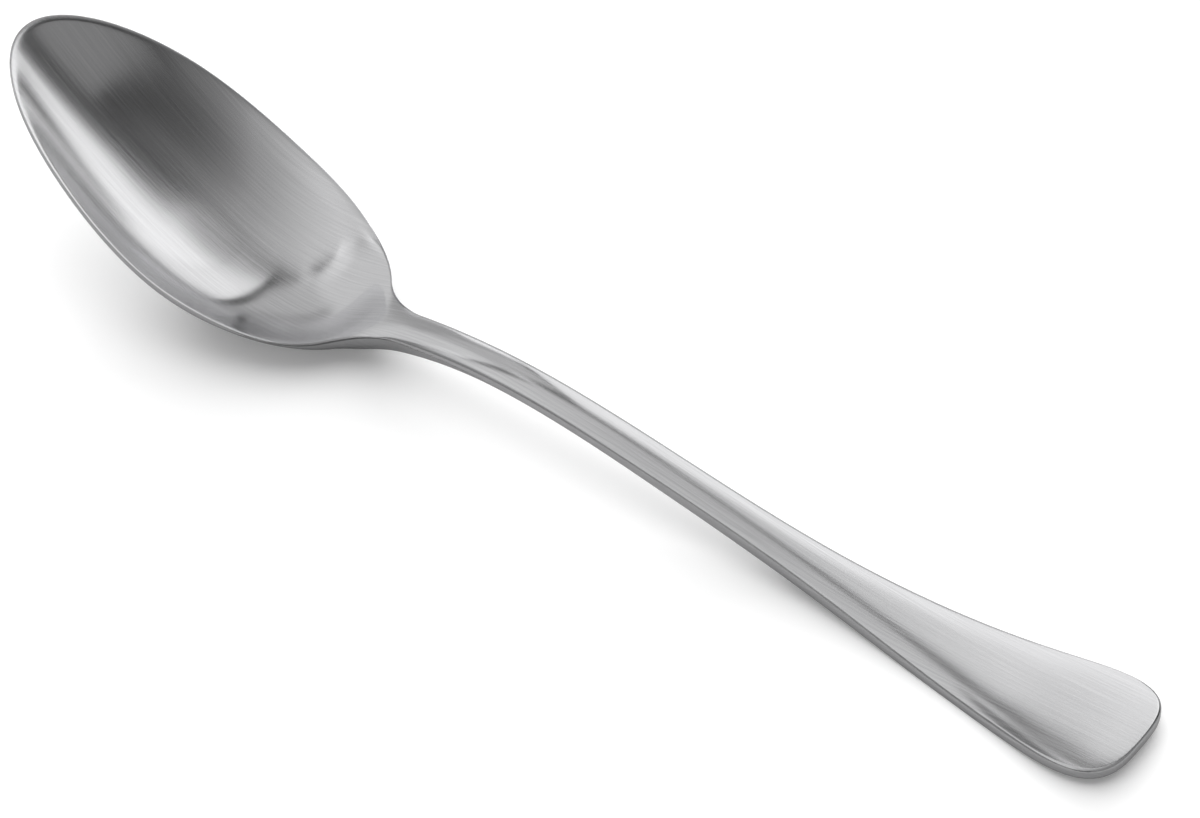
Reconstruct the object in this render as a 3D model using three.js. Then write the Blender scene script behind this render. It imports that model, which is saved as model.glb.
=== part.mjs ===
// Soup spoon struck from one blank of stainless steel.
// Millimetres, +Z up. The bowl's tip points to -X, the handle's end to +X, and the table is z = 0.
import * as THREE from 'three';
import { LoftGeometry } from 'three/addons/geometries/LoftGeometry.js';
import { mergeVertices } from 'three/addons/utils/BufferGeometryUtils.js';

// Overall length
const LENGTH = 205;

// Bowl in plan
const BOWL_LENGTH = 67.7;
const BOWL_WIDTH = 37.2;
const EGG_SKEW = 0.07;
const NECK_RADIUS = 13;

// Bowl in depth
const BOWL_DEPTH = 8;
const FLOOR_THICKNESS = 1.8;
const RIM_LAND = 1;
const RIM_WALL = 1;
const WALL_STEEPNESS = 1.45;
const RIM_SOFTNESS = 0.03;
const NECK_SOFTNESS = 0.25;

// Seat on the table under the bowl, as a share of the bowl's length, and how much is pressed flat there
const SEAT_SHARE = 0.76;
const SEAT_FLAT = 0.4;

// Rise of the rim over the rim at the seat
const TIP_RISE = 21.9;
const FRONT_RISE = 12.2;
const MIDDLE_RISE = 3.6;

// Height of the edge line over the table, from the back of the bowl to the handle's end
const BACK_HEIGHT = 6.65;
const NECK_HEIGHT = 7.6;
const STEM_HEIGHT = 9.8;
const ARCH_HEIGHT = 8;
const FLARE_HEIGHT = 2.8;
const PALM_HEIGHT = 1.1;
const END_HEIGHT = 3.5;

// Handle widths from the neck to the end
const NECK_WIDTH = 6.8;
const STEM_WIDTH = 6.4;
const ARCH_WIDTH = 6.4;
const FLARE_WIDTH = 8.2;
const PALM_WIDTH = 15.9;
const END_WIDTH = 24.4;

// Rounded end
const END_ROUND = 19;
const END_SQUARENESS = 3.2;

// Crown over the edge line, upright side below it and belly under the side
const NECK_CROWN = 0.7;
const STEM_CROWN = 1.8;
const ARCH_CROWN = 1.7;
const PALM_CROWN = 1.6;
const END_CROWN = 0.35;
const NECK_WALL = 0.5;
const ARCH_WALL = 0.7;
const PALM_WALL = 0.85;
const END_WALL = 1.65;
const NECK_BELLY = 4.9;
const STEM_BELLY = 1.1;
const ARCH_BELLY = 1.4;
const PALM_BELLY = 1.3;
const END_BELLY = 1.3;
const STEM_ROUNDNESS = 2.2;
const PALM_FLATNESS = 4.5;
const CROWN_POWER = 1.6;
const BELLY_POWER = 3;
const BLEND = 0.6;

// Facets
const ACROSS = 14;
const BOWL_STATIONS = 28;
const NECK_STATIONS = 5;
const HANDLE_STATIONS = 24;
const END_STATIONS = 9;
const TIP_FACET = 0.02;
const END_FACET = 0.1;

const handleLength = LENGTH - BOWL_LENGTH;
const bowlHalf = BOWL_WIDTH / 2;
const outerDepth = BOWL_DEPTH + FLOOR_THICKNESS - RIM_WALL;
const alongHandle = (share) => BOWL_LENGTH + share * handleLength;

// Smooth curve through [position, value] stations, with free ends.
function curveThrough(stations) {
  const n = stations.length;
  const bend = new Array(n).fill(0);
  const carry = new Array(n).fill(0);
  const step = (i) => stations[i + 1][0] - stations[i][0];
  const slope = (i) => (stations[i + 1][1] - stations[i][1]) / step(i);
  for (let i = 1; i < n - 1; i++) {
    const pivot = 2 * (step(i - 1) + step(i)) - step(i - 1) * carry[i - 1];
    carry[i] = step(i) / pivot;
    bend[i] = (6 * (slope(i) - slope(i - 1)) - step(i - 1) * bend[i - 1]) / pivot;
  }
  for (let i = n - 2; i > 0; i--) {
    bend[i] -= carry[i] * bend[i + 1];
  }
  return (position) => {
    const at = THREE.MathUtils.clamp(position, stations[0][0], stations[n - 1][0]);
    let i = 0;
    while (i < n - 2 && at > stations[i + 1][0]) {
      i++;
    }
    const h = step(i);
    const a = (stations[i + 1][0] - at) / h;
    const b = 1 - a;
    const cubic = (a ** 3 - a) * bend[i] + (b ** 3 - b) * bend[i + 1];
    return a * stations[i][1] + b * stations[i + 1][1] + (cubic * h * h) / 6;
  };
}

// Egg outline of the bowl: square of its half-width, negative past its ends.
const eggShape = (u) => u * (1 - u) * (1 + EGG_SKEW * (2 * u - 1)) ** 2;
let eggPeak = 0;
for (let i = 1; i < 200; i++) {
  eggPeak = Math.max(eggPeak, eggShape(i / 200));
}
const eggSquare = (s) => (bowlHalf ** 2 * eggShape(s / BOWL_LENGTH)) / eggPeak;
const eggHalf = (s) => Math.sqrt(Math.max(eggSquare(s), 0));

// Handle outline
const handleHalf = curveThrough([
  [alongHandle(0), NECK_WIDTH / 2],
  [alongHandle(0.14), STEM_WIDTH / 2],
  [alongHandle(0.35), ARCH_WIDTH / 2],
  [alongHandle(0.6), FLARE_WIDTH / 2],
  [alongHandle(0.82), PALM_WIDTH / 2],
  [alongHandle(1), END_WIDTH / 2],
]);

// Neck fillet: the arc that touches the egg's outline and the side of the stem.
function findFillet() {
  let low = BOWL_LENGTH;
  let high = BOWL_LENGTH + 3 * NECK_RADIUS;
  let touch = low;
  for (let round = 0; round < 40; round++) {
    const centre = (low + high) / 2;
    const reach = handleHalf(centre) + NECK_RADIUS;
    let nearest = Infinity;
    for (let i = 0; i <= 400; i++) {
      const s = BOWL_LENGTH * (1 - (i / 800) ** 2);
      const gap = Math.hypot(s - centre, eggHalf(s) - reach);
      if (gap < nearest) {
        nearest = gap;
        touch = s;
      }
    }
    if (nearest < NECK_RADIUS) {
      low = centre;
    } else {
      high = centre;
    }
  }
  return { centre: high, start: touch, reach: handleHalf(high) + NECK_RADIUS };
}
const fillet = findFillet();

function halfWidth(position) {
  const s = THREE.MathUtils.clamp(position, TIP_FACET, LENGTH - END_FACET);
  if (s <= fillet.start) {
    return eggHalf(s);
  }
  if (s < fillet.centre) {
    return fillet.reach - Math.sqrt(NECK_RADIUS ** 2 - (fillet.centre - s) ** 2);
  }
  const turn = Math.max(s - (LENGTH - END_ROUND), 0) / END_ROUND;
  return handleHalf(s) * (1 - turn ** END_SQUARENESS) ** (1 / END_SQUARENESS);
}

// How far a place lies inside the egg: 1 at the middle of its widest section, 0 on its outline.
const inside = (s, y) => (eggSquare(s) - y * y) / bowlHalf ** 2;
const dishShape = (share) => 1 - (1 - THREE.MathUtils.clamp(share, 0, 1)) ** WALL_STEEPNESS;
const landShare = 1 - (1 - RIM_LAND / bowlHalf) ** 2;

// Heights along the spoon
const seat = SEAT_SHARE * BOWL_LENGTH;
const seatRim = RIM_WALL + outerDepth * dishShape(inside(seat, 0)) - SEAT_FLAT;
const edgeHeight = curveThrough([
  [0, seatRim + TIP_RISE],
  [0.32 * BOWL_LENGTH, seatRim + FRONT_RISE],
  [0.58 * BOWL_LENGTH, seatRim + MIDDLE_RISE],
  [seat, seatRim],
  [0.95 * BOWL_LENGTH, BACK_HEIGHT],
  [BOWL_LENGTH + 3, NECK_HEIGHT],
  [alongHandle(0.18), STEM_HEIGHT],
  [alongHandle(0.36), ARCH_HEIGHT],
  [alongHandle(0.62), FLARE_HEIGHT],
  [alongHandle(0.8), PALM_HEIGHT],
  [LENGTH, END_HEIGHT],
]);
const crownHeight = curveThrough([
  [alongHandle(0), NECK_CROWN],
  [alongHandle(0.16), STEM_CROWN],
  [alongHandle(0.4), ARCH_CROWN],
  [alongHandle(0.72), PALM_CROWN],
  [LENGTH, END_CROWN],
]);
const wallHeight = curveThrough([
  [alongHandle(-0.15), RIM_WALL],
  [alongHandle(0.03), NECK_WALL],
  [alongHandle(0.4), ARCH_WALL],
  [alongHandle(0.72), PALM_WALL],
  [LENGTH, END_WALL],
]);
const bellyHeight = curveThrough([
  [alongHandle(0), NECK_BELLY],
  [alongHandle(0.16), STEM_BELLY],
  [alongHandle(0.4), ARCH_BELLY],
  [alongHandle(0.72), PALM_BELLY],
  [LENGTH, END_BELLY],
]);
const fade = (s, from, to) => THREE.MathUtils.smoothstep(s, alongHandle(from), alongHandle(to));

function softMaximum(a, b) {
  const mix = THREE.MathUtils.clamp(0.5 + (a - b) / (2 * BLEND), 0, 1);
  return b + (a - b) * mix + BLEND * mix * (1 - mix);
}

function topHeight(s, y, across) {
  const flatness = THREE.MathUtils.lerp(STEM_ROUNDNESS, PALM_FLATNESS, fade(s, 0.3, 0.85));
  const crown = crownHeight(s) * fade(s, -0.05, 0.06) * (1 - Math.abs(across) ** flatness) ** (1 / CROWN_POWER);
  const depthShare = (inside(s, y) - landShare) / (1 - landShare);
  const softness = THREE.MathUtils.lerp(RIM_SOFTNESS, NECK_SOFTNESS, fade(s, -0.18, 0.04));
  const softShare = (depthShare + Math.hypot(depthShare, softness)) / 2;
  return edgeHeight(s) + crown - BOWL_DEPTH * dishShape(softShare);
}

function undersideHeight(s, y, across) {
  const dish = outerDepth * dishShape(inside(s, y));
  const belly = bellyHeight(s) * fade(s, -0.17, 0.02) * Math.sqrt(1 - Math.abs(across) ** BELLY_POWER);
  return Math.max(edgeHeight(s) - wallHeight(s) - softMaximum(dish, belly), 0);
}

// One section of the loft, over the top from the far side and back along the underside.
function sectionAt(s) {
  const half = halfWidth(s);
  const ring = [];
  for (let i = ACROSS; i >= -ACROSS; i--) {
    const across = Math.sin((i / ACROSS) * (Math.PI / 2));
    ring.push(new THREE.Vector3(s - LENGTH / 2, across * half, topHeight(s, across * half, across)));
  }
  for (let i = -ACROSS; i <= ACROSS; i++) {
    const across = Math.sin((i / ACROSS) * (Math.PI / 2));
    ring.push(new THREE.Vector3(s - LENGTH / 2, across * half, undersideHeight(s, across * half, across)));
  }
  return ring;
}

// The same number of points drawn together at the middle of a section, to close an end.
function endPoint(ring) {
  const middle = ring[ACROSS].clone().lerp(ring[3 * ACROSS + 1], 0.5);
  return ring.map(() => middle.clone());
}

function loftStations() {
  const places = [];
  for (let i = 0; i <= BOWL_STATIONS; i++) {
    places.push((fillet.start * (1 - Math.cos((Math.PI * i) / BOWL_STATIONS))) / 2);
  }
  for (let i = 1; i <= NECK_STATIONS; i++) {
    places.push(fillet.start + ((fillet.centre - fillet.start) * i) / NECK_STATIONS);
  }
  const roundStart = LENGTH - END_ROUND;
  for (let i = 1; i <= HANDLE_STATIONS; i++) {
    places.push(fillet.centre + ((roundStart - fillet.centre) * i) / HANDLE_STATIONS);
  }
  for (let i = 1; i <= END_STATIONS; i++) {
    places.push(roundStart + END_ROUND * Math.sin(((Math.PI / 2) * i) / END_STATIONS));
  }
  return places;
}

// Welds the seams and drops the triangles that closed up at the two end points.
function welded(geometry) {
  const plain = new THREE.BufferGeometry();
  plain.setAttribute('position', geometry.getAttribute('position'));
  plain.setIndex(geometry.getIndex());
  const joined = mergeVertices(plain, 1e-4);
  const kept = [];
  const index = joined.index.array;
  for (let i = 0; i < index.length; i += 3) {
    const [a, b, c] = [index[i], index[i + 1], index[i + 2]];
    if (a !== b && b !== c && c !== a) {
      kept.push(a, b, c);
    }
  }
  joined.setIndex(kept);
  joined.computeVertexNormals();
  return joined;
}

const rings = loftStations().map(sectionAt);
const sections = [endPoint(rings[0]), ...rings, endPoint(rings[rings.length - 1])];
const loft = new LoftGeometry(sections, { closed: true, capStart: false, capEnd: false });

const brushedSteel = new THREE.MeshStandardMaterial({ color: 0xb9babb, metalness: 1, roughness: 0.32 });
const spoon = new THREE.Mesh(welded(loft), brushedSteel);
spoon.name = 'spoon';

const part = new THREE.Group();
part.name = 'soup_spoon';
part.add(spoon);

export default part;
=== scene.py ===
"""Brushed steel soup spoon, struck from one blank, on a white studio floor."""
import math

import bmesh
import bpy
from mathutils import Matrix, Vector


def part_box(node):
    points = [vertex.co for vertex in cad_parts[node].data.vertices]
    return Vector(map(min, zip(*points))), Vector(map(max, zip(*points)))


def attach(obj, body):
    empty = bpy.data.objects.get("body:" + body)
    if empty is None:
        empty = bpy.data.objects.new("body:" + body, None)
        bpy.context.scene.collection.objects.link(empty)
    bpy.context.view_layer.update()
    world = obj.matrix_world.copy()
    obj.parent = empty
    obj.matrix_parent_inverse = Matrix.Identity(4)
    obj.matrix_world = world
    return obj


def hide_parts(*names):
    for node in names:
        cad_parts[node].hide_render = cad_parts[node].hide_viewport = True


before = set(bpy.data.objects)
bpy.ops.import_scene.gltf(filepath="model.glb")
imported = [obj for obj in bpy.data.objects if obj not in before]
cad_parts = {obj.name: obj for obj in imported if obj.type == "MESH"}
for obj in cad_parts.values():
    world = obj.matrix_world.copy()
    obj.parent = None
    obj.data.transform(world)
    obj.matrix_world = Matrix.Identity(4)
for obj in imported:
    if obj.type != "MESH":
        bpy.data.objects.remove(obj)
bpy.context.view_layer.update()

spoon_low, spoon_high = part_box("spoon")
MM = 0.001

# Whole spoon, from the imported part
LENGTH = (spoon_high[0] - spoon_low[0]) / MM
BOWL_WIDTH = (spoon_high[1] - spoon_low[1]) / MM

# Bowl in plan
BOWL_LENGTH = 67.7
EGG_SKEW = 0.07
NECK_RADIUS = 13

# Bowl in depth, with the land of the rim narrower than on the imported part
BOWL_DEPTH = 8
FLOOR_THICKNESS = 1.8
RIM_LAND = 0.4
RIM_WALL = 1
WALL_STEEPNESS = 1.45
RIM_SOFTNESS = 0.03
NECK_SOFTNESS = 0.25

# Seat under the bowl, and the rise of the rim over the rim there
SEAT_SHARE = 0.76
SEAT_FLAT = 0.4
TIP_RISE = 21.9
FRONT_RISE = 12.2
MIDDLE_RISE = 3.6

# Height of the edge line over the table, from the back of the bowl to the handle's end
BACK_HEIGHT = 6.65
NECK_HEIGHT = 7.6
STEM_HEIGHT = 9.8
ARCH_HEIGHT = 8
FLARE_HEIGHT = 2.8
PALM_HEIGHT = 1.1
END_HEIGHT = 3.5

# Places of those rises and heights: shares of the bowl, a step past it, then shares of the handle
FRONT_AT = 0.32
MIDDLE_AT = 0.58
BACK_AT = 0.95
NECK_STEP = 3
STEM_HEIGHT_AT = 0.18
ARCH_HEIGHT_AT = 0.36
FLARE_HEIGHT_AT = 0.62
PALM_HEIGHT_AT = 0.8

# Handle widths from the neck to the end, and the rounded end
NECK_WIDTH = 6.8
STEM_WIDTH = 6.4
ARCH_WIDTH = 6.4
FLARE_WIDTH = 8.2
PALM_WIDTH = 15.9
END_WIDTH = 24.4
END_ROUND = 19
END_SQUARENESS = 3.2

# Places of the widths, as shares of the handle
STEM_WIDTH_AT = 0.14
ARCH_WIDTH_AT = 0.35
FLARE_WIDTH_AT = 0.6
PALM_WIDTH_AT = 0.82

# Crown over the edge line, upright side below it and belly under the side
NECK_CROWN = 0.7
STEM_CROWN = 1.8
ARCH_CROWN = 1.7
PALM_CROWN = 1.6
END_CROWN = 0.35
NECK_WALL = 0.5
ARCH_WALL = 0.7
PALM_WALL = 0.85
END_WALL = 1.65
NECK_BELLY = 4.9
STEM_BELLY = 1.1
ARCH_BELLY = 1.4
PALM_BELLY = 1.3
END_BELLY = 1.3
STEM_ROUNDNESS = 2.2
PALM_FLATNESS = 4.5
CROWN_POWER = 1.6
BELLY_POWER = 3
BLEND = 0.6

# Places of the crown, side and belly, as shares of the handle
RIM_WALL_AT = -0.15
NECK_WALL_AT = 0.03
STEM_AT = 0.16
ARCH_AT = 0.4
PALM_AT = 0.72

# Stretches over which the form changes, as shares of the handle
CROWN_STARTS = (-0.05, 0.06)
BELLY_STARTS = (-0.17, 0.02)
NECK_SOFTENS = (-0.18, 0.04)
PALM_FLATTENS = (0.3, 0.85)

# Edges rounded by the brush
TOP_EDGE_ROUND = 0.25
PALM_EDGE_ROUND = 0.4
END_EDGE_ROUND = 0.5
LOWER_EDGE_ROUND = 0.35
PALM_EDGE_AT = 0.75

# Rows of the blank along the spoon and columns across it
TIP_ROWS = 44
BODY_ROWS = 190
END_ROWS = 36
COLUMNS = 72

# Steps of the searches along the outline, and the least sizes that are divided by
EGG_STEPS = 200
FILLET_HALVINGS = 40
FILLET_STEPS = 400
OUTLINE_STEP = 0.02
LEAST_HALF_WIDTH = 0.01
LEAST_LEAN = 1e-6

# Brushed steel, with lines per metre across and along the spoon
ANISOTROPY = 0.9
DARK_STEEL = (0.66, 0.66, 0.67, 1)
LIGHT_STEEL = (0.77, 0.77, 0.78, 1)
FINE_LINES = (4200, 70, 1)
BROAD_LINES = (1100, 25, 1)
LINE_DETAIL = 3
LINE_BREAKUP = 0.6
LINE_RANGE = (0.3, 0.7)
LINE_ROUGHNESS = (0.07, 0.1)
LINE_RELIEF = 0.5
LINE_DEPTH = 0.000004
UPRIGHT_FACE = 0.5

# Floor, in metres, with its grey and glow to the camera and in mirrors
FLOOR_SIZE = 3
FLOOR_GREY = 0.9
MIRRORED_GREY = 0.33
CAMERA_GLOW = 0.14
MIRRORED_GLOW = 0.05

# Room: dark walls, and a round ceiling that is lighter towards the bowl and faint over the left side
WALL_GREY = 0.07
CEILING_GREY = 0.68
CEILING_BEND = 0.27
BEND_GREY = 0.3
CEILING_DARK_SIDE = 0.57
CEILING_LIGHT_SIDE = -0.5
CEILING_MIDDLE = (168, 67.5)
CEILING_REACH = 47.5
CEILING_EDGE = 2
GAP_MIDDLE = (-72, 16)
GAP_REACH = 50
GAP_EDGE = 1
GAP_SHARE = 0.18

# Lamps: distances in metres and sides in degrees, turning from +Y to +X
PANEL_DISTANCE = 0.38
BACK_SIDE = -4
LEFT_SIDE = -70
RIGHT_SIDE = 85
FRONT_SIDE = -155
GRID_DISTANCE = 0.75
GRID_SPREAD = math.radians(12)
PALM_NEAR_SIDE = Vector((0.084, -0.009, 0.004))
CARD_SIDE = -20
CARD_DISTANCE = 0.26
CARD_LIFT = 0.001
WASH_SIDE = -36
WASH_DISTANCE = 4

# Camera, in metres and degrees, with its lens and sensor in millimetres
CAMERA_SIDE = 143.613
CAMERA_ELEVATION = 45.787
CAMERA_DISTANCE = 0.7
CAMERA_TARGET = Vector((0.00527, 0.00351, 0.008))
CAMERA_LENS = 141.2
CAMERA_SENSOR = 36

handle_length = LENGTH - BOWL_LENGTH
round_start = LENGTH - END_ROUND
bowl_half = BOWL_WIDTH / 2
outer_depth = BOWL_DEPTH + FLOOR_THICKNESS - RIM_WALL


def clamp(value, low, high):
    return max(low, min(high, value))


def along_handle(share):
    return BOWL_LENGTH + share * handle_length


def smooth_fade(s, stretch):
    """0 before a stretch of the handle, 1 past it."""
    start = along_handle(stretch[0])
    end = along_handle(stretch[1])
    share = clamp((s - start) / (end - start), 0, 1)
    return share * share * (3 - 2 * share)


def curve_through(stations):
    """Smooth curve through (position, value) stations, with free ends."""
    count = len(stations)
    bend = [0.0] * count
    carry = [0.0] * count

    def step(i):
        return stations[i + 1][0] - stations[i][0]

    def slope(i):
        return (stations[i + 1][1] - stations[i][1]) / step(i)

    for i in range(1, count - 1):
        pivot = 2 * (step(i - 1) + step(i)) - step(i - 1) * carry[i - 1]
        carry[i] = step(i) / pivot
        bend[i] = (6 * (slope(i) - slope(i - 1)) - step(i - 1) * bend[i - 1]) / pivot
    for i in range(count - 2, 0, -1):
        bend[i] -= carry[i] * bend[i + 1]

    def value_at(position):
        at = clamp(position, stations[0][0], stations[-1][0])
        i = 0
        while i < count - 2 and at > stations[i + 1][0]:
            i += 1
        h = step(i)
        a = (stations[i + 1][0] - at) / h
        b = 1 - a
        cubic = (a ** 3 - a) * bend[i] + (b ** 3 - b) * bend[i + 1]
        return a * stations[i][1] + b * stations[i + 1][1] + cubic * h * h / 6

    return value_at


# Outline of the bowl, the neck and the handle
def egg_shape(u):
    return u * (1 - u) * (1 + EGG_SKEW * (2 * u - 1)) ** 2


egg_peak = max(egg_shape(i / EGG_STEPS) for i in range(1, EGG_STEPS))


def egg_square(s):
    """Square of the egg's half-width, negative past its ends."""
    return bowl_half ** 2 * egg_shape(s / BOWL_LENGTH) / egg_peak


def egg_half(s):
    return math.sqrt(max(egg_square(s), 0))


handle_half = curve_through([
    (along_handle(0), NECK_WIDTH / 2),
    (along_handle(STEM_WIDTH_AT), STEM_WIDTH / 2),
    (along_handle(ARCH_WIDTH_AT), ARCH_WIDTH / 2),
    (along_handle(FLARE_WIDTH_AT), FLARE_WIDTH / 2),
    (along_handle(PALM_WIDTH_AT), PALM_WIDTH / 2),
    (along_handle(1), END_WIDTH / 2),
])


def find_neck_fillet():
    """The arc that touches the egg's outline and the side of the stem: its start, centre and reach."""
    low = BOWL_LENGTH
    high = BOWL_LENGTH + 3 * NECK_RADIUS
    touch = low
    for _ in range(FILLET_HALVINGS):
        centre = (low + high) / 2
        reach = handle_half(centre) + NECK_RADIUS
        nearest = math.inf
        for i in range(FILLET_STEPS + 1):
            s = BOWL_LENGTH * (1 - (i / FILLET_STEPS / 2) ** 2)
            gap = math.hypot(s - centre, egg_half(s) - reach)
            if gap < nearest:
                nearest = gap
                touch = s
        if nearest < NECK_RADIUS:
            low = centre
        else:
            high = centre
    return touch, high, handle_half(high) + NECK_RADIUS


fillet_start, fillet_centre, fillet_reach = find_neck_fillet()


def half_width(s):
    if s <= fillet_start:
        return egg_half(max(s, 0))
    if s < fillet_centre:
        return fillet_reach - math.sqrt(NECK_RADIUS ** 2 - (fillet_centre - s) ** 2)
    turn = clamp((s - round_start) / END_ROUND, 0, 1)
    return handle_half(s) * (1 - turn ** END_SQUARENESS) ** (1 / END_SQUARENESS)


def inside_egg(s, y):
    """1 at the middle of the bowl's widest section, 0 on the egg's outline."""
    return (egg_square(s) - y * y) / bowl_half ** 2


def share_across(s, y):
    """0 on the middle line and 1 on the outline, also round the end of the handle."""
    turn = clamp((s - round_start) / END_ROUND, 0, 1)
    half = handle_half(s) if s > fillet_centre else max(half_width(s), LEAST_HALF_WIDTH)
    side = abs(y) / half
    return min((turn ** END_SQUARENESS + side ** END_SQUARENESS) ** (1 / END_SQUARENESS), 1)


def edge_distance(s, y):
    """How far a place lies in from the outline."""
    before = max(s - OUTLINE_STEP, 0)
    after = min(s + OUTLINE_STEP, LENGTH)
    lean = (half_width(after) ** 2 - half_width(before) ** 2) / (after - before)
    return max(half_width(s) ** 2 - y * y, 0) / max(math.hypot(lean, 2 * y), LEAST_LEAN)


# Heights along the spoon
def dish_shape(share):
    return 1 - (1 - clamp(share, 0, 1)) ** WALL_STEEPNESS


land_share = 1 - (1 - RIM_LAND / bowl_half) ** 2
seat = SEAT_SHARE * BOWL_LENGTH
seat_rim = RIM_WALL + outer_depth * dish_shape(inside_egg(seat, 0)) - SEAT_FLAT
edge_height = curve_through([
    (0, seat_rim + TIP_RISE),
    (FRONT_AT * BOWL_LENGTH, seat_rim + FRONT_RISE),
    (MIDDLE_AT * BOWL_LENGTH, seat_rim + MIDDLE_RISE),
    (seat, seat_rim),
    (BACK_AT * BOWL_LENGTH, BACK_HEIGHT),
    (BOWL_LENGTH + NECK_STEP, NECK_HEIGHT),
    (along_handle(STEM_HEIGHT_AT), STEM_HEIGHT),
    (along_handle(ARCH_HEIGHT_AT), ARCH_HEIGHT),
    (along_handle(FLARE_HEIGHT_AT), FLARE_HEIGHT),
    (along_handle(PALM_HEIGHT_AT), PALM_HEIGHT),
    (LENGTH, END_HEIGHT),
])
crown_height = curve_through([
    (along_handle(0), NECK_CROWN),
    (along_handle(STEM_AT), STEM_CROWN),
    (along_handle(ARCH_AT), ARCH_CROWN),
    (along_handle(PALM_AT), PALM_CROWN),
    (LENGTH, END_CROWN),
])
wall_height = curve_through([
    (along_handle(RIM_WALL_AT), RIM_WALL),
    (along_handle(NECK_WALL_AT), NECK_WALL),
    (along_handle(ARCH_AT), ARCH_WALL),
    (along_handle(PALM_AT), PALM_WALL),
    (LENGTH, END_WALL),
])
belly_height = curve_through([
    (along_handle(0), NECK_BELLY),
    (along_handle(STEM_AT), STEM_BELLY),
    (along_handle(ARCH_AT), ARCH_BELLY),
    (along_handle(PALM_AT), PALM_BELLY),
    (LENGTH, END_BELLY),
])
top_edge_round = curve_through([
    (BOWL_LENGTH, TOP_EDGE_ROUND),
    (along_handle(ARCH_AT), TOP_EDGE_ROUND),
    (along_handle(PALM_EDGE_AT), PALM_EDGE_ROUND),
    (LENGTH, END_EDGE_ROUND),
])


def soft_maximum(a, b):
    mix = clamp(0.5 + (a - b) / (2 * BLEND), 0, 1)
    return b + (a - b) * mix + BLEND * mix * (1 - mix)


def rolled_edge(distance, radius):
    """Drop of a quarter-round edge at a distance in from the outline."""
    rest = clamp(1 - distance / radius, 0, 1)
    return radius * (1 - math.sqrt(1 - rest * rest))


def top_height(s, y):
    across = share_across(s, y)
    flatness = STEM_ROUNDNESS + (PALM_FLATNESS - STEM_ROUNDNESS) * smooth_fade(s, PALM_FLATTENS)
    arch = (1 - across ** flatness) ** (1 / CROWN_POWER)
    crown = crown_height(s) * smooth_fade(s, CROWN_STARTS) * arch
    depth_share = (inside_egg(s, y) - land_share) / (1 - land_share)
    softness = RIM_SOFTNESS + (NECK_SOFTNESS - RIM_SOFTNESS) * smooth_fade(s, NECK_SOFTENS)
    soft_share = (depth_share + math.hypot(depth_share, softness)) / 2
    roll = rolled_edge(edge_distance(s, y), top_edge_round(s))
    return edge_height(s) + crown - BOWL_DEPTH * dish_shape(soft_share) - roll


def underside_height(s, y):
    across = share_across(s, y)
    dish = outer_depth * dish_shape(inside_egg(s, y))
    belly = belly_height(s) * smooth_fade(s, BELLY_STARTS) * math.sqrt(1 - across ** BELLY_POWER)
    roll = rolled_edge(edge_distance(s, y), LOWER_EDGE_ROUND)
    return max(edge_height(s) - wall_height(s) - soft_maximum(dish, belly) + roll, 0)


# Spoon
def rounded_square(reach, side, power):
    """Draws the corners of a square sheet in to a round outline."""
    out = reach * (1 - abs(side) ** power / 2) ** (1 / power)
    over = side * (1 - reach ** power / 2) ** (1 / power)
    return out, over


def place_in_plan(row, across):
    """Where a row and a share across the blank lie on the trimmed outline."""
    side = math.sin(across * math.pi / 2)
    if row < TIP_ROWS:
        reach = math.cos(row / TIP_ROWS * math.pi / 2)
        forward, over = rounded_square(reach, side, 2)
        u = (1 - forward) / 2
        breadth = bowl_half * (1 + EGG_SKEW * (2 * u - 1)) / (2 * math.sqrt(egg_peak))
        return u * BOWL_LENGTH, over * breadth
    if row <= TIP_ROWS + BODY_ROWS:
        share = (row - TIP_ROWS) / BODY_ROWS
        s = BOWL_LENGTH / 2 + share * (round_start - BOWL_LENGTH / 2)
        return s, side * half_width(s)
    reach = math.sin((row - TIP_ROWS - BODY_ROWS) / END_ROWS * math.pi / 2)
    forward, over = rounded_square(reach, side, END_SQUARENESS)
    s = round_start + forward * END_ROUND
    return s, over * handle_half(s)


def lay_brush_map(bm):
    """Map with the first axis across the brush lines; the side wall unfolds outwards from the top."""
    brush_map = bm.loops.layers.uv.new("brush")
    for face in bm.faces:
        upright = abs(face.normal.z) < UPRIGHT_FACE
        for loop in face.loops:
            place = loop.vert.co
            normal = loop.vert.normal
            rise = place.z if upright else 0
            loop[brush_map].uv = (place.y - normal.y * rise, place.x - normal.x * rise)


def strike_spoon():
    """A flat blank, trimmed to the outline, struck to the top and given its underside."""
    bm = bmesh.new()
    rows = TIP_ROWS + BODY_ROWS + END_ROWS
    bmesh.ops.create_grid(bm, x_segments=rows, y_segments=COLUMNS, size=1)
    for vert in bm.verts:
        row = round((vert.co.x + 1) / 2 * rows)
        s, y = place_in_plan(row, vert.co.y)
        vert.co = Vector((s - LENGTH / 2, y, top_height(s, y)))
    blank = list(bm.verts) + list(bm.edges) + list(bm.faces)
    struck = bmesh.ops.extrude_face_region(bm, geom=blank, use_keep_orig=True)
    for part in struck["geom"]:
        if isinstance(part, bmesh.types.BMVert):
            part.co.z = underside_height(part.co.x + LENGTH / 2, part.co.y)
    bmesh.ops.recalc_face_normals(bm, faces=bm.faces)
    bmesh.ops.scale(bm, vec=(MM, MM, MM), verts=bm.verts)
    lay_brush_map(bm)
    mesh = bpy.data.meshes.new("spoon_body")
    bm.to_mesh(mesh)
    bm.free()
    mesh.shade_smooth()
    return mesh


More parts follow.
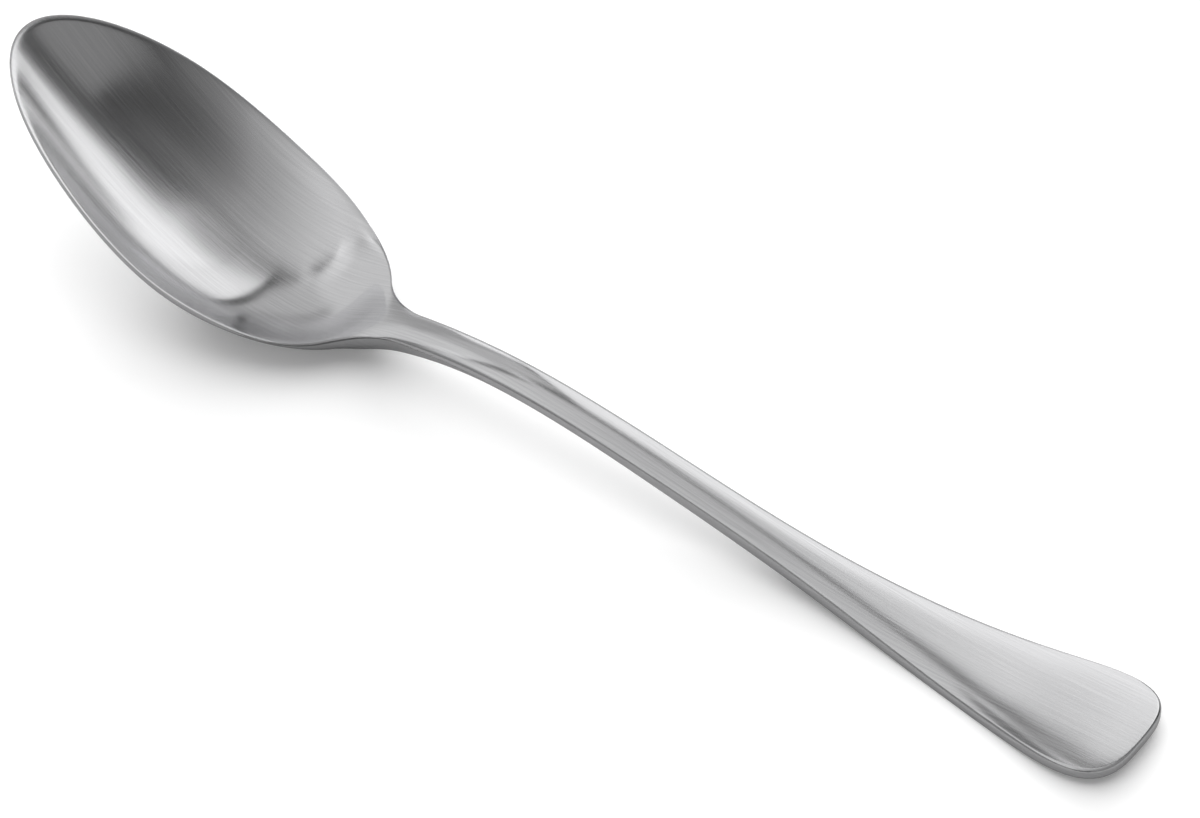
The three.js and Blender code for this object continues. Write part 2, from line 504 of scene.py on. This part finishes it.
def combine(tree, operation, first, second):
    """Math node on an output and another output or a number."""
    node = tree.nodes.new("ShaderNodeMath")
    node.operation = operation
    tree.links.new(first, node.inputs[0])
    if isinstance(second, (int, float)):
        node.inputs[1].default_value = second
    else:
        tree.links.new(second, node.inputs[1])
    return node.outputs["Value"]


def remap(tree, value, old_range, new_range):
    """Output moved from one range to another and kept inside it."""
    node = tree.nodes.new("ShaderNodeMapRange")
    ends = ("From Min", "From Max", "To Min", "To Max")
    for end, number in zip(ends, old_range + new_range):
        node.inputs[end].default_value = number
    tree.links.new(value, node.inputs["Value"])
    return node.outputs["Result"]


def brushed_steel():
    """Satin stainless steel with fine brush lines along the spoon."""
    material = bpy.data.materials.new("brushed_steel")
    material.use_nodes = True
    tree = material.node_tree
    nodes = tree.nodes
    links = tree.links
    shader = nodes["Principled BSDF"]
    shader.inputs["Metallic"].default_value = 1
    shader.inputs["Anisotropic"].default_value = ANISOTROPY
    place = nodes.new("ShaderNodeUVMap")
    place.uv_map = "brush"

    def brush_lines(name, lines_per_metre):
        stretch = nodes.new("ShaderNodeMapping")
        stretch.inputs["Scale"].default_value = lines_per_metre
        links.new(place.outputs["UV"], stretch.inputs["Vector"])
        lines = nodes.new("ShaderNodeTexNoise")
        lines.name = name
        lines.inputs["Scale"].default_value = 1
        lines.inputs["Detail"].default_value = LINE_DETAIL
        lines.inputs["Roughness"].default_value = LINE_BREAKUP
        links.new(stretch.outputs["Vector"], lines.inputs["Vector"])
        return lines.outputs["Fac"]

    fine = brush_lines("fine_lines", FINE_LINES)
    broad = brush_lines("broad_lines", BROAD_LINES)

    shade = nodes.new("ShaderNodeValToRGB")
    for element, position, colour in zip(shade.color_ramp.elements, LINE_RANGE, (DARK_STEEL, LIGHT_STEEL)):
        element.position = position
        element.color = colour
    links.new(fine, shade.inputs["Fac"])
    links.new(shade.outputs["Color"], shader.inputs["Base Color"])

    fine_roughness = remap(tree, fine, LINE_RANGE, LINE_ROUGHNESS)
    broad_roughness = remap(tree, broad, LINE_RANGE, LINE_ROUGHNESS)
    links.new(combine(tree, "ADD", fine_roughness, broad_roughness), shader.inputs["Roughness"])

    relief = nodes.new("ShaderNodeBump")
    relief.inputs["Strength"].default_value = LINE_RELIEF
    relief.inputs["Distance"].default_value = LINE_DEPTH
    links.new(fine, relief.inputs["Height"])
    links.new(relief.outputs["Normal"], shader.inputs["Normal"])

    across = nodes.new("ShaderNodeTangent")
    across.direction_type = "UV_MAP"
    across.uv_map = "brush"
    links.new(across.outputs["Tangent"], shader.inputs["Tangent"])
    return material


def add_spoon():
    mesh = strike_spoon()
    mesh.materials.append(brushed_steel())
    spoon = bpy.data.objects.new("spoon_body", mesh)
    bpy.context.scene.collection.objects.link(spoon)
    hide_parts("spoon")
    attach(spoon, "root")


# Studio
def direction(side, elevation):
    """Unit vector from the middle of the floor, the side turning from +Y to +X, in degrees."""
    a = math.radians(side)
    e = math.radians(elevation)
    return Vector((math.sin(a) * math.cos(e), math.cos(a) * math.cos(e), math.sin(e)))


def grey(level):
    return (level, level, level, 1)


def white_floor():
    """Matt white with a little glow to the camera, and a darker grey in mirrors."""
    material = bpy.data.materials.new("white_floor")
    material.use_nodes = True
    tree = material.node_tree
    nodes = tree.nodes
    links = tree.links
    nodes.clear()
    path = nodes.new("ShaderNodeLightPath")
    mirrored = combine(tree, "MAXIMUM", path.outputs["Is Glossy Ray"], path.outputs["Is Transmission Ray"])
    paint = nodes.new("ShaderNodeBsdfDiffuse")
    tone = remap(tree, mirrored, (0, 1), (FLOOR_GREY, MIRRORED_GREY))
    links.new(tone, paint.inputs["Color"])
    glow = nodes.new("ShaderNodeEmission")
    to_camera = combine(tree, "MULTIPLY", path.outputs["Is Camera Ray"], CAMERA_GLOW)
    in_mirrors = combine(tree, "MULTIPLY", mirrored, MIRRORED_GLOW)
    links.new(combine(tree, "ADD", to_camera, in_mirrors), glow.inputs["Strength"])
    both = nodes.new("ShaderNodeAddShader")
    links.new(paint.outputs["BSDF"], both.inputs[0])
    links.new(glow.outputs["Emission"], both.inputs[1])
    out = nodes.new("ShaderNodeOutputMaterial")
    links.new(both.outputs["Shader"], out.inputs["Surface"])
    return material


def add_floor():
    bm = bmesh.new()
    bmesh.ops.create_grid(bm, x_segments=1, y_segments=1, size=FLOOR_SIZE)
    mesh = bpy.data.meshes.new("studio_floor")
    bm.to_mesh(mesh)
    bm.free()
    mesh.materials.append(white_floor())
    floor = bpy.data.objects.new("studio_floor", mesh)
    bpy.context.scene.collection.objects.link(floor)


def add_room():
    """World with dark walls and a graded grey ceiling, fainter over the left side."""
    world = bpy.data.worlds.new("studio")
    bpy.context.scene.world = world
    world.use_nodes = True
    tree = world.node_tree
    nodes = tree.nodes
    links = tree.links
    way = nodes.new("ShaderNodeTexCoord").outputs["Generated"]

    def cone(middle, reach, edge, levels):
        """First level outside a cone about a direction and second inside it, with a soft edge."""
        toward = nodes.new("ShaderNodeVectorMath")
        toward.operation = "DOT_PRODUCT"
        toward.inputs[1].default_value = direction(*middle)
        links.new(way, toward.inputs[0])
        outer = math.cos(math.radians(reach + edge))
        inner = math.cos(math.radians(reach - edge))
        return remap(tree, toward.outputs["Value"], (outer, inner), levels)

    parts = nodes.new("ShaderNodeSeparateXYZ")
    links.new(way, parts.inputs["Vector"])
    grade = nodes.new("ShaderNodeValToRGB")
    grade.color_ramp.elements[0].color = grey(0)
    grade.color_ramp.elements[1].color = grey(CEILING_GREY)
    grade.color_ramp.elements.new(CEILING_BEND).color = grey(BEND_GREY)
    share = remap(tree, parts.outputs["X"], (CEILING_DARK_SIDE, CEILING_LIGHT_SIDE), (0, 1))
    links.new(share, grade.inputs["Fac"])
    ceiling = cone(CEILING_MIDDLE, CEILING_REACH, CEILING_EDGE, (0, 1))
    gap = cone(GAP_MIDDLE, GAP_REACH, GAP_EDGE, (1, GAP_SHARE))
    shape = combine(tree, "MULTIPLY", ceiling, gap)
    light = combine(tree, "MULTIPLY", shape, grade.outputs["Color"])
    sky = nodes["Background"]
    sky.inputs["Color"].default_value = grey(1)
    links.new(combine(tree, "ADD", light, WALL_GREY), sky.inputs["Strength"])


def add_lamp(name, place, back, width, height, brightness):
    """Area lamp with its back to a direction, even over its whole front and hidden from the camera."""
    lamp = bpy.data.lights.new(name, "AREA")
    lamp.shape = "RECTANGLE"
    lamp.size = width
    lamp.size_y = height
    lamp.energy = brightness * math.pi * width * height
    box = bpy.data.objects.new(name, lamp)
    box.location = place
    box.rotation_euler = back.to_track_quat("Z", "Y").to_euler()
    box.visible_camera = False
    bpy.context.scene.collection.objects.link(box)
    return box


def stand_panel(name, side, left, right, bottom, top, brightness):
    """Upright panel across one side; its edges are the degrees seen from the middle of the floor."""
    outward = direction(side, 0)
    along = direction(side + 90, 0)
    start = PANEL_DISTANCE * math.tan(math.radians(left - side))
    end = PANEL_DISTANCE * math.tan(math.radians(right - side))
    low = PANEL_DISTANCE * math.tan(math.radians(bottom))
    high = PANEL_DISTANCE * math.tan(math.radians(top))
    place = outward * PANEL_DISTANCE + along * (start + end) / 2 + Vector((0, 0, (low + high) / 2))
    add_lamp(name, place, outward, end - start, high - low, brightness)


def aim_gridded_lamp(name, target, side, elevation, width, height, brightness):
    """Lamp behind a grid, seen only from close to the place that it is aimed at."""
    way = direction(side, elevation)
    box = add_lamp(name, target + way * GRID_DISTANCE, way, width, height, brightness)
    half = GRID_SPREAD / 2
    box.data.spread = GRID_SPREAD
    box.data.energy *= 1 - half / math.tan(half)


def lay_card(name, width, height, brightness):
    """Small lamp that lies on the floor and shines up."""
    place = direction(CARD_SIDE, 0) * CARD_DISTANCE + Vector((0, 0, CARD_LIFT))
    add_lamp(name, place, Vector((0, 0, -1)), width, height, brightness)


def hang_wash(name, elevation, width, height, brightness):
    """Large lamp that lights the floor and is not seen in the steel."""
    way = direction(WASH_SIDE, elevation)
    box = add_lamp(name, way * WASH_DISTANCE, way, width, height, brightness)
    box.visible_glossy = False


def add_lamps():
    stand_panel("back_panel", BACK_SIDE, left=-26, right=-5, bottom=0, top=56.5, brightness=1.02)
    stand_panel("low_back_panel", BACK_SIDE, left=-36, right=-5, bottom=0, top=17, brightness=0.8)
    stand_panel("back_right_panel", BACK_SIDE, left=-5, right=18, bottom=20, top=55.5, brightness=1.18)
    stand_panel("back_left_panel", LEFT_SIDE, left=-60, right=-28, bottom=0, top=32, brightness=0.33)
    stand_panel("high_left_panel", LEFT_SIDE, left=-60, right=-28, bottom=32, top=59, brightness=0.48)
    stand_panel("left_panel", LEFT_SIDE, left=-119, right=-60, bottom=0, top=59, brightness=0.66)
    stand_panel("right_panel", RIGHT_SIDE, left=45, right=141, bottom=0, top=57.7, brightness=0.2)
    stand_panel("front_panel", FRONT_SIDE, left=-190, right=-123, bottom=0, top=38, brightness=0.16)
    aim_gridded_lamp(
        "palm_lamp", PALM_NEAR_SIDE, side=-56, elevation=60.2, width=0.23, height=0.19, brightness=1.2
    )
    lay_card("floor_card", width=0.4, height=0.22, brightness=0.9)
    hang_wash("floor_wash", elevation=66, width=7.2, height=7.2, brightness=1.2)
    hang_wash("low_wash", elevation=22, width=4, height=1, brightness=8)


def add_camera():
    camera_data = bpy.data.cameras.new("photo_camera")
    camera_data.lens = CAMERA_LENS
    camera_data.sensor_width = CAMERA_SENSOR
    camera = bpy.data.objects.new("photo_camera", camera_data)
    back = direction(CAMERA_SIDE, CAMERA_ELEVATION)
    camera.location = CAMERA_TARGET + back * CAMERA_DISTANCE
    camera.rotation_euler = back.to_track_quat("Z", "Y").to_euler()
    bpy.context.scene.collection.objects.link(camera)
    bpy.context.scene.camera = camera


add_spoon()
add_floor()
add_room()
add_lamps()
add_camera()
bpy.context.scene.view_settings.view_transform = "Standard"
